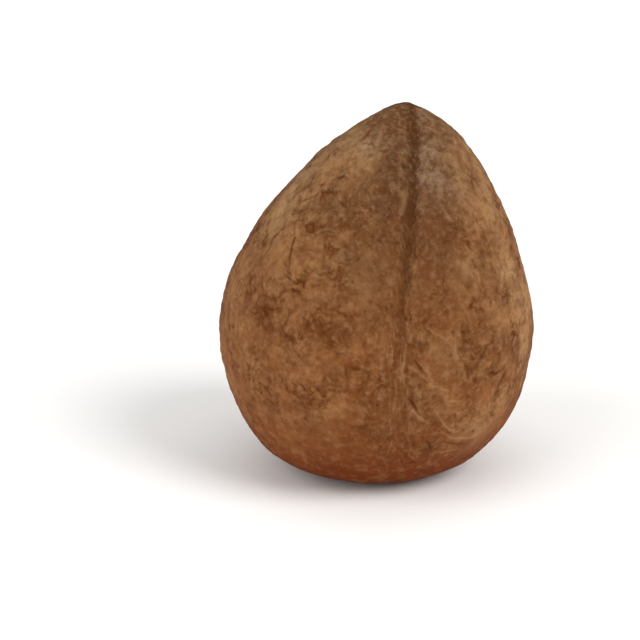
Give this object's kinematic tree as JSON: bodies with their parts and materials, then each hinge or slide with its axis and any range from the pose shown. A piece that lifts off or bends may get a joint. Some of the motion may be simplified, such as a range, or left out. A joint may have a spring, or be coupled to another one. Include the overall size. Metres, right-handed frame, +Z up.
{
  "type": "dried coconut kernel",
  "caption": "Whole dried coconut out of its shell: an egg-shaped brown nut with shallow furrows, standing tip up on a small flat spot.",
  "frame": {"origin": "middle of the base, on the surface the nut stands on", "axes": "+Z up from the blunt end to the tip; -Y is the front, the side with the deepest furrow; +X is the side the tip leans to"},
  "size_m": [0.0874, 0.0848, 0.1044],
  "materials": {
    "skin": "dry wrinkled brown skin, matt with a faint waxy sheen"
  },
  "bodies": {
    "root": {"kernel": "skin"}
  },
  "joints": []
}
